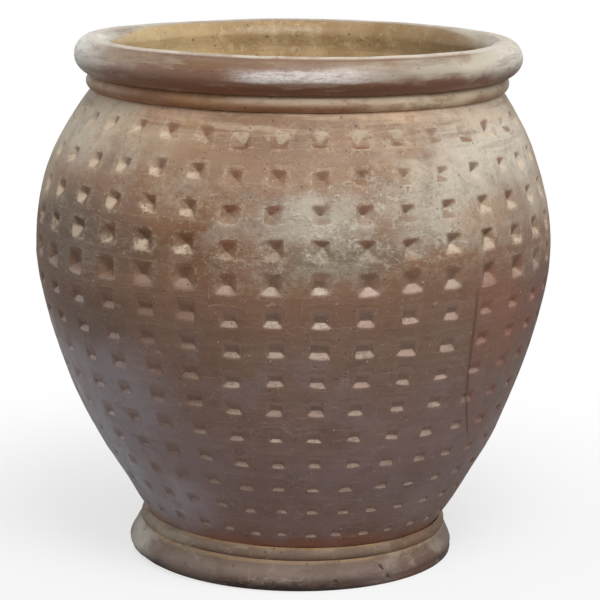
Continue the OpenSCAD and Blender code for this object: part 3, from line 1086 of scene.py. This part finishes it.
def wall_look():
    look = Look("wall_wash_and_painted_light")
    where = look.warped(0.040, 6.5)
    z = look.axis(where, "Z")
    x = look.axis(where, "X")
    look.colour = look.by_height(z, (
        (FOOT_LINE, (138, 88, 72)),
        (FOOT_LINE + 9 * MM, (129, 99, 92)),
        (0.130, (129, 104, 100)),
        (0.205, (122, 96, 84)),
        (0.270, (121, 91, 73)),
        (0.315, (122, 89, 66)),
        (0.350, (130, 97, 73)),
        (0.395, (138, 107, 81)),
        (NECK_Z - 4 * MM, (152, 121, 92)),
        (NECK_Z, (176, 142, 113)),
    ))
    look.washes(where, [(on_wall(turn, z * MM), *wash) for turn, z, *wash in WALL_WASHES_AND_PAINTED_LIGHT])
    upper = look.ramp(z, 0.285, 0.345)
    lower = look.minus(1.0, upper)
    neck = look.ramp(z, 0.415, 0.450)

    # Ash settled on the shoulder, swirled by the brush, and smears left by the wheel
    smooth_side = look.patch(where, on_wall(-55, 0.340), (0.200, 0.16, 0.070), 0.5)
    smooth_neck = look.patch(where, on_wall(-10, 0.432), (0.140, 0.12, 0.046), 0.5)
    dusted = look.minus(1.0, look.all_of(look.either(smooth_side, smooth_neck), 0.85))
    ash = look.ramp(look.noise(26, 6.0, (1, 1, 1.3), 0.72, 5.0), 0.46, 0.60)
    look.lay((182, 174, 158), ash, upper, dusted, 0.34)
    scumbled = look.patch(where, on_wall(16, 0.365), (0.150, 0.13, 0.062), 0.5)
    patchy = look.ramp(look.noise(70, 5.0, (1, 1, 1), 0.7, 12.0), 0.44, 0.58)
    patchy = look.all_of(patchy, dusted, look.plus(look.all_of(scumbled, 0.85), 0.15))
    swirls = look.threads(62, 0.062, (1, 1, 1.2), 2.0, 1.4)
    look.lay((202, 195, 180), swirls, upper, patchy, 0.48)
    dark_swirls = look.threads(74, 0.045, (1, 1, 1.2), 7.0, 1.6)
    look.lay((112, 90, 70), dark_swirls, upper, patchy, 0.50)
    grit = look.ramp(look.noise(240, 3.0, (1, 1, 1), 0.7, 31.0), 0.55, 0.66)
    look.lay((96, 74, 54), grit, upper, dusted, 0.22)
    salt = look.ramp(look.noise(210, 3.0, (1, 1, 1), 0.7, 37.0), 0.56, 0.68)
    look.lay((214, 204, 186), salt, upper, dusted, 0.24)
    smear = look.noise(9, 6.0, (1, 1, 16), 0.7)
    smeared = look.plus(look.all_of(neck, 0.42), 0.06)
    look.lay((196, 172, 144), look.ramp(smear, 0.50, 0.62), smeared)
    look.lay((120, 90, 66), look.ramp(smear, 0.48, 0.38), smeared)

    # Runs and blotches of thin wash, and fine scratches both ways
    run = look.noise(15, 4.0, (1, 1, 0.25), 0.6, 3.0)
    look.lay((112, 79, 61), look.ramp(run, 0.47, 0.64, 0.0, 0.36))
    blotch = look.noise(48, 6.0, (1, 1, 1.2), 0.7, 8.0)
    look.lay((92, 69, 55), look.ramp(blotch, 0.50, 0.66, 0.0, 0.30))
    bloom = look.ramp(look.noise(20, 5.0, (1, 1, 1), 0.65, 21.0), 0.50, 0.64, 0.0, 0.30)
    bloom = look.all_of(bloom, look.ramp(z, 0.225, 0.290, 1.0, 0.0))
    look.lay((134, 120, 122), bloom)
    scratches = look.threads(17, 0.006, (1, 1, 5), 15.0, 0.4)
    scratches = look.either(scratches, look.threads(24, 0.005, (3, 3, 1), 18.0, 0.8))
    scratches = look.all_of(scratches, look.ramp(blotch, 0.42, 0.52))
    look.lay((176, 156, 140), scratches, 0.35)

    # Prints: the facet that faces up is pale with dust and painted light, the one above it is dark with wash
    # and painted shade
    tone = look.mark("print_tone")
    dusty = look.noise(170, 5.0, (1, 1, 1.4), 0.7, 9.0)
    front = look.between(look.axis(look.place, "X"), -0.110, -0.040, 0.135, 0.185)
    sides = look.ramp(look.math("ABSOLUTE", look.plus(x, -0.02)), 0.06, 0.13, 0.22, 0.92)
    # Where the lower facets take painted light: the front below the belly, the sides above it
    share = look.mix_number(upper, front, sides)
    spotty = look.ramp(dusty, look.ramp(tone, 0.0, 1.0, 0.28, 0.44), look.ramp(tone, 0.0, 1.0, 0.44, 0.58))
    dust_and_light_share = look.all_of(look.mark("lower_facet"), look.ramp(spotty, 0.0, 1.0, 0.35, 0.92), share)
    in_print = look.mark("print")
    # Prints below the belly: a wash, lighter on the front as painted light against the shade in their
    # hollows, and thin on the left where the painted sheen shows through
    print_wash_and_light = look.mix(look.ramp(x, 0.0, 0.06), (120, 88, 70), (138, 92, 74))
    print_wash_and_light = look.mix(front, print_wash_and_light, (132, 105, 91))
    painted_sheen_side = look.patch(where, on_wall(-86, 0.165), (0.110, 0.16, 0.150), 0.6)
    bare_print = look.ramp(painted_sheen_side, 0.0, 1.0, 0.50, 0.12)
    look.lay(print_wash_and_light, in_print, lower, bare_print)
    pale_dust_and_light_colour = look.mix(look.ramp(tone, 0.1, 0.9), (168, 142, 128), (176, 158, 138))
    pale_dust_and_light_colour = look.mix(look.all_of(upper, 0.75), pale_dust_and_light_colour, (208, 189, 163))
    look.lay(pale_dust_and_light_colour, dust_and_light_share)
    # Upper facets of the upper rows darker: dark wash and painted shade
    pooled_wash_and_shade = look.mix(look.ramp(tone, 0.35, 0.75), (108, 72, 46), (126, 80, 56))
    look.lay(pooled_wash_and_shade, look.mark("upper_facet"), upper, 0.72)
    # Dark stain with painted shade on the lower facets of the upper front prints
    look.lay((116, 78, 52), look.mark("stain_and_shade"), 0.72)
    # Pale ash with painted light on the upper facets of the top row's reversed prints
    look.lay((186, 168, 144), look.mark("ashen"), look.ramp(dusty, 0.36, 0.52, 0.35, 0.8))
    # Worn edges of the upper rows' prints, pale with wear and a painted highlight
    worn = look.all_of(look.mark("print_edge"), look.ramp(dusty, 0.46, 0.60), upper, 0.42)
    look.lay((210, 192, 168), worn)

    pits = look.either(look.specks(150, 0.17, 0.20), look.specks(290, 0.20, 0.10))
    look.lay((70, 52, 42), pits, 0.6)
    chips = look.either(look.specks(105, 0.11, 0.12), look.specks(260, 0.18, 0.07))
    look.lay((202, 188, 170), chips, 0.7)
    beside, seam = fold(look)
    look.lay((134, 88, 70), beside, 0.30)
    look.lay((84, 54, 42), seam, 0.70)
    inner = look.mark("inner_skin")
    look.lay(raw_clay(look), inner)

    lines = look.noise(24, 4.0, (1, 1, 12), 0.6, 2.0)
    normal = look.bump(lines, 0.8 * MM, 0.35)
    normal, tooth = look.grain(normal)
    relief = look.minus(chips, look.plus(pits, seam))
    relief = look.plus(relief, look.all_of(swirls, patchy, upper, 0.4))
    normal = look.bump(relief, 0.6 * MM, 0.9, normal)
    rough = look.sandy(look.ramp(upper, 0.0, 1.0, 0.38, 0.60), tooth)
    rough = look.plus(rough, look.all_of(inner, 0.2))
    return look.finish(rough, normal, 0.5)


def rim_look():
    look = Look("rim_wash_and_painted_light")
    where = look.warped(0.030, 9.0)
    radius = look.mark("turned_r")
    z = look.mark("turned_z")
    x = look.axis(where, "X")
    look.colour = look.by_height(z, (
        (COLLAR_TOP, (126, 84, 60)),
        (COLLAR_TOP + 3 * MM, (116, 72, 49)),
        (COLLAR_TOP + 9 * MM, (115, 73, 51)),
        (COLLAR_TOP + 16 * MM, (124, 89, 70)),
        (RIM_TOP - 8 * MM, (116, 85, 57)),
        (RIM_TOP, (146, 119, 95)),
    ))
    rim_z = (COLLAR_TOP + RIM_TOP) / 2
    look.washes(where, (
        ((-0.225, -0.02, rim_z + 3 * MM), (100, 150, 50), (226, 224, 212), 0.98),
        ((-0.150, -0.13, rim_z + 10 * MM), (60, 80, 16), (152, 132, 110), 0.70),
        ((0.125, -0.17, rim_z + 7 * MM), (95, 80, 15), (172, 162, 143), 0.92),
        ((0.070, -0.20, rim_z + 9 * MM), (60, 80, 10), (150, 134, 117), 0.70),
        ((0.220, -0.07, rim_z + 6 * MM), (95, 150, 26), (210, 203, 188), 0.98),
        ((0.150, -0.15, rim_z - 9 * MM), (80, 90, 12), (124, 78, 62), 0.75),
        ((0.0, 0.20, rim_z), (200, 80, 50), (170, 156, 138), 0.70),
        ((-0.145, 0.11, rim_z + 8 * MM), (100, 100, 30), (192, 184, 164), 0.85),
        ((0.150, 0.10, rim_z + 8 * MM), (100, 100, 30), (192, 182, 162), 0.85),
    ))
    outside = look.ramp(radius, ROLL_SEAT_R, ROLL_SEAT_R + 4 * MM)
    streak = look.noise(13, 6.0, (1, 1, 8), 0.7)
    look.lay((104, 74, 60), look.ramp(streak, 0.48, 0.62, 0.0, 0.45))
    wipe = look.noise(20, 6.0, (1, 1, 7), 0.7, 14.0)
    look.lay((178, 164, 146), look.ramp(wipe, 0.52, 0.66, 0.0, 0.35))

    pale_end = ((0.172, -0.13, rim_z + 12 * MM), (60, 60, 14), (190, 180, 160), 0.80)
    look.washes(where, (pale_end,))

    # Painted highlight along the crown of the roll's front, speckled as a frost of fine salt
    speck = look.noise(260, 5.0, (1, 1, 1.6), 0.75, 3.0)
    brushed = look.axis(look.warped(0.004, 24), "Z")
    crown = look.between(brushed, 0.4825, 0.4860, 0.4915, 0.4975)
    crown = look.all_of(crown, outside, look.between(x, -0.076, -0.024, 0.036, 0.100))
    wisps = look.noise(60, 5.0, (1, 1, 9), 0.7, 19.0)
    frost_and_highlight = look.all_of(crown, look.ramp(speck, 0.32, 0.62, 0.60, 1.0))
    frost_and_highlight = look.all_of(frost_and_highlight, look.ramp(wisps, 0.36, 0.50, 0.45, 1.0))
    look.lay((212, 204, 199), frost_and_highlight)

    # Worn lip with a painted highlight, the painted shade of the groove outside it and the bare clay inside
    groove = look.between(radius, *(ROLL_SEAT_R + step * MM for step in (1.5, 3, 4, 6)))
    top = look.ramp(z, RIM_TOP - 7 * MM, RIM_TOP - 4 * MM)
    at_front = look.between(x, -0.190, -0.110, 0.130, 0.185)
    look.lay((106, 76, 58), groove, top, at_front, 0.60)
    lip = look.between(radius, MOUTH_R + 11 * MM, MOUTH_R + 15 * MM, ROLL_SEAT_R, ROLL_SEAT_R + 2.5 * MM)
    worn = look.ramp(look.noise(50, 5.0, (1, 1, 1), 0.65, 6.0), 0.38, 0.56, 0.45, 0.95)
    look.lay((200, 188, 172), lip, top, worn)
    reach = look.ramp(look.axis(look.place, "Y"), 0.04, 0.15, 0.0, 9 * MM)
    bare = look.ramp(look.minus(radius, reach), MOUTH_R + 0.5 * MM, MOUTH_R + 4.5 * MM, 1.0, 0.0)
    look.lay(raw_clay(look), bare)
    pits = look.either(look.specks(120, 0.15, 0.2), look.specks(270, 0.2, 0.1))
    look.lay((70, 50, 40), pits, 0.55)
    chips = look.specks(210, 0.16, 0.10)
    look.lay((204, 194, 178), chips, 0.6)
    lines = look.noise(22, 5.0, (1, 1, 9), 0.65, 2.0)
    normal, tooth = look.grain(look.bump(lines, 0.8 * MM, 0.5), 0.9)
    normal = look.bump(look.minus(chips, pits), 0.5 * MM, 0.8, normal)
    rough = look.sandy(look.ramp(streak, 0.4, 0.6, 0.34, 0.48), tooth)
    return look.finish(rough, normal, 0.5)


def moulding_look(name, stops, dirt, washes, roughness=0.55, cracks=(), ashen=0.45):
    """A washed clay moulding: colours by height, washes, a darker mottle, grain and pits."""
    look = Look(name)
    look.colour = look.by_height(look.mark("turned_z"), stops)
    look.washes(look.warped(0.025, 10.0), washes)
    mottle = look.noise(36, 5.0, (1, 1, 2.5), 0.65)
    look.lay(dirt, look.ramp(mottle, 0.46, 0.64, 0.0, 0.5))
    ash = look.noise(22, 5.0, (1, 1, 1.5), 0.68, 8.0)
    above = look.ramp(look.mark("turned_z"), 8 * MM, 19 * MM)
    look.lay((172, 160, 142), look.ramp(ash, 0.52, 0.66), above, ashen)
    pits = look.specks(130, 0.17, 0.3)
    look.lay((66, 52, 42), pits, 0.6)
    chips = look.specks(85, 0.12, 0.14)
    look.lay((196, 182, 160), chips, 0.6)
    scratches = look.all_of(look.threads(30, 0.008, (1, 1, 4), 5.0, 0.6), look.ramp(ash, 0.44, 0.56))
    look.lay((186, 170, 148), scratches, 0.3)
    wavy = look.warped(0.003, 60) if cracks else None
    for start, end, width, shade, share in cracks:
        crack = look.all_of(look.scratch(wavy, start, end, width), share)
        look.lay(shade, crack)
        pits = look.either(pits, crack)
    normal, tooth = look.grain(None, 1.2)
    normal = look.bump(look.minus(chips, pits), 0.6 * MM, 0.8, normal)
    rough = look.sandy(look.ramp(mottle, 0.4, 0.6, roughness, roughness + 0.1), tooth)
    return look.finish(rough, normal, 0.4)


def collar_look():
    middle = (NECK_Z + COLLAR_TOP) / 2
    return moulding_look(
        "collar_wash",
        (
            (NECK_Z + 0.5 * MM, (158, 112, 78)),
            (NECK_Z + 2.5 * MM, (140, 96, 66)),
            (NECK_Z + 5.4 * MM, (134, 93, 64)),
            (NECK_Z + 7.8 * MM, (178, 151, 125)),
            (COLLAR_TOP - 3 * MM, (192, 171, 147)),
            (COLLAR_TOP - 0.5 * MM, (176, 144, 116)),
        ),
        (122, 83, 55),
        (
            ((-0.12, -0.15, middle + 2 * MM), (125, 100, 20), (153, 110, 71), 0.90),
            ((-0.13, -0.15, NECK_Z + 3 * MM), (120, 110, 9), (126, 85, 54), 0.80),
            ((0.13, -0.16, middle + 4 * MM), (110, 100, 14), (206, 186, 158), 0.90),
            ((0.20, -0.06, middle + 2 * MM), (60, 100, 20), (186, 166, 140), 0.80),
            ((-0.20, 0.0, middle), (60, 120, 30), (156, 136, 112), 0.70),
        ),
        0.5,
        ashen=0.2,
    )


def foot_bead_look():
    return moulding_look(
        "foot_bead_wash_and_highlight",
        (
            # Darker at the bottom; the pale ochre line along the top edge is partly a painted highlight
            (FOOT_TOP, (78, 58, 44)),
            (FOOT_TOP + 2.5 * MM, (118, 98, 84)),
            (FOOT_LINE - 2.5 * MM, (128, 109, 92)),
            (FOOT_LINE - 1 * MM, (176, 144, 104)),
        ),
        (108, 86, 70),
        (
            ((0.13, -0.08, 0.035), (70, 100, 30), (124, 92, 69), 0.80),
            ((-0.13, -0.07, 0.035), (60, 90, 30), (148, 135, 116), 0.75),
        ),
        0.55,
        (
            (at(COIL_JOINT, BASE_R + 3 * MM, FOOT_TOP), at(COIL_JOINT, BASE_R + 2 * MM, FOOT_LINE),
             1.4 * MM, (166, 128, 108), 0.30),
        ),
    )


def foot_look():
    dark = (40, 26, 22)
    return moulding_look(
        "foot_wash_and_painted_light",
        (
            # Dark towards the bottom: painted shade on the foot's underside; the pale line at the top is
            # partly ochre and partly a painted highlight
            (0.0095, (55, 41, 36)),
            (0.0140, (76, 57, 50)),
            (0.0172, (114, 96, 88)),
            (0.021, (128, 110, 99)),
            (FOOT_TOP - 2 * MM, (114, 95, 80)),
            (FOOT_TOP - 0.8 * MM, (154, 128, 98)),
        ),
        (104, 84, 71),
        (
            ((-0.155, -0.02, 0.016), (50, 90, 30), (196, 191, 180), 0.92),
            ((-0.10, -0.12, 0.012), (60, 50, 30), (116, 102, 92), 0.60),
            ((0.095, -0.13, 0.012), (50, 50, 14), (124, 104, 98), 0.70),
            ((0.130, -0.09, 0.010), (60, 60, 20), (106, 76, 62), 0.75),
            ((0.155, -0.01, 0.016), (35, 70, 30), (132, 116, 108), 0.70),
        ),
        0.6,
        (
            (leaned(CRACK_TOP), leaned(CRACK_FOOT), 1.7 * MM, dark, 0.90),
            (at(SPOT, SPOT_R, 10.5 * MM), at(SPOT + 0.02, SPOT_R, 10 * MM), 2.0 * MM, dark, 0.85),
            (at(COIL_JOINT, FOOT_R - 1 * MM, 10 * MM), at(COIL_JOINT, FOOT_R - 6 * MM, FOOT_TOP),
             1.6 * MM, (160, 126, 108), 0.25),
        ),
    )


def floor_look():
    look = Look("bare_clay_and_painted_light")
    look.colour = raw_clay(look)
    normal, tooth = look.grain(None, 1.2)
    return look.finish(look.ramp(tooth, 0.3, 0.7, 0.72, 0.85), normal, 0.35)


# The object

wall_wash_and_painted_light = wall_look()
upper_wall(wall_wash_and_painted_light)
lower_wall(wall_wash_and_painted_light)
rim(rim_look())
collar(collar_look())
foot_bead(foot_bead_look())
foot_ring(foot_look())
floor_slab(floor_look())


# Stage, light and camera

BOUNCE = (176, 174, 172)


def stage_floor():
    """A pale floor: white to the camera with the pot's shadow on it, and pale grey in its light."""
    look = Look("pale_floor")
    soft = look.mix(look.noise(3.0), (236, 236, 236), (240, 240, 240))
    rays = look.nodes.new("ShaderNodeLightPath").outputs
    seen = look.either(rays["Is Camera Ray"], rays["Is Transmission Ray"])
    look.connect(look.shader.inputs["Base Color"], look.mix(seen, BOUNCE, soft))
    look.shader.inputs["Roughness"].default_value = 0.9
    look.shader.inputs["Specular IOR Level"].default_value = 0.0
    white = look.nodes.new("ShaderNodeEmission")
    white.inputs["Strength"].default_value = 1.0
    flat = look.vector("LENGTH", look.vector("MULTIPLY", look.place, (1, 1, 0)))
    share = look.all_of(seen, look.ramp(flat, 0.16, 0.75, 0.70, 1.0))
    blend = look.nodes.new("ShaderNodeMixShader")
    look.connect(blend.inputs[0], share)
    look.links.new(look.shader.outputs[0], blend.inputs[1])
    look.links.new(white.outputs[0], blend.inputs[2])
    look.links.new(blend.outputs[0], look.nodes["Material Output"].inputs["Surface"])
    half = 6.0
    mesh = bpy.data.meshes.new("pale_floor")
    corners = [(-half, -half, 0), (half, -half, 0), (half, half, 0), (-half, half, 0)]
    mesh.from_pydata(corners, [], [(0, 1, 2, 3)])
    mesh.materials.append(look.material)
    ground = bpy.data.objects.new("pale_floor", mesh)
    bpy.context.scene.collection.objects.link(ground)


def white_world(fill):
    """White where the camera, a gloss or a clear body sees it, and a plain soft fill for the rest."""
    world = bpy.data.worlds.new("studio")
    bpy.context.scene.world = world
    world.use_nodes = True
    nodes, links = world.node_tree.nodes, world.node_tree.links
    strength = nodes["Background"].inputs["Strength"]
    nodes["Background"].inputs["Color"].default_value = (1, 1, 1, 1)
    rays = nodes.new("ShaderNodeLightPath").outputs
    seen = rays["Is Camera Ray"]
    for ray in ("Is Glossy Ray", "Is Transmission Ray"):
        either = nodes.new("ShaderNodeMath")
        either.operation = "MAXIMUM"
        links.new(seen, either.inputs[0])
        links.new(rays[ray], either.inputs[1])
        seen = either.outputs[0]
    level = nodes.new("ShaderNodeMapRange")
    level.inputs["To Min"].default_value = fill
    links.new(seen, level.inputs["Value"])
    links.new(level.outputs[0], strength)


def area_light(name, azimuth, elevation, distance, size, watts):
    """A square softbox that faces the pot's middle. Azimuth is counted from the front towards +X."""
    light = bpy.data.lights.new(name, "AREA")
    light.shape = "SQUARE"
    light.size = size
    light.energy = watts
    lamp = bpy.data.objects.new(name, light)
    aim = Vector((0, 0, BELLY_Z))
    level = distance * math.cos(math.radians(elevation))
    lamp.location = aim + at(math.radians(azimuth), level, distance * math.sin(math.radians(elevation)))
    lamp.rotation_euler = (lamp.location - aim).to_track_quat("Z", "Y").to_euler()
    bpy.context.scene.collection.objects.link(lamp)


# The photograph's camera: its place, its turns in degrees and its lens for a 36 mm sensor
CAMERA_PLACE = (0.0, -2.2916, 0.7170)
CAMERA_YAW, CAMERA_PITCH, CAMERA_ROLL = 0.184, 11.574, 0.80
CAMERA_LENS, CAMERA_SENSOR = 143.1, 36.0


def camera():
    """Straight in front of the pot, a little above the rim and slightly turned."""
    yaw, pitch, roll = map(math.radians, (CAMERA_YAW, CAMERA_PITCH, CAMERA_ROLL))
    ahead = Vector((math.sin(yaw) * math.cos(pitch), math.cos(yaw) * math.cos(pitch), -math.sin(pitch)))
    right = Vector((math.cos(yaw), -math.sin(yaw), 0.0))
    up = right.cross(ahead)
    turned_right = math.cos(roll) * right + math.sin(roll) * up
    turned_up = math.cos(roll) * up - math.sin(roll) * right
    lens = bpy.data.cameras.new("camera")
    lens.sensor_width = CAMERA_SENSOR
    lens.lens = CAMERA_LENS
    view = bpy.data.objects.new("camera", lens)
    turn = Matrix((turned_right, turned_up, -ahead)).transposed().to_4x4()
    view.matrix_world = Matrix.Translation(CAMERA_PLACE) @ turn
    bpy.context.scene.collection.objects.link(view)
    bpy.context.scene.camera = view


# Softboxes: azimuth and elevation in degrees, distance and size in m, watts
SOFTBOXES = {
    "key": (14, 51, 2.6, 1.2, 54),
    "front": (5, 20, 3.0, 0.8, 9),
    "left": (-100, 6, 2.4, 1.4, 12),
    "right": (95, 20, 2.6, 1.4, 10),
}
FILL = 0.22

stage_floor()
white_world(FILL)
for softbox, settings in SOFTBOXES.items():
    area_light(softbox, *settings)
camera()
bpy.context.scene.view_settings.view_transform = "Standard"
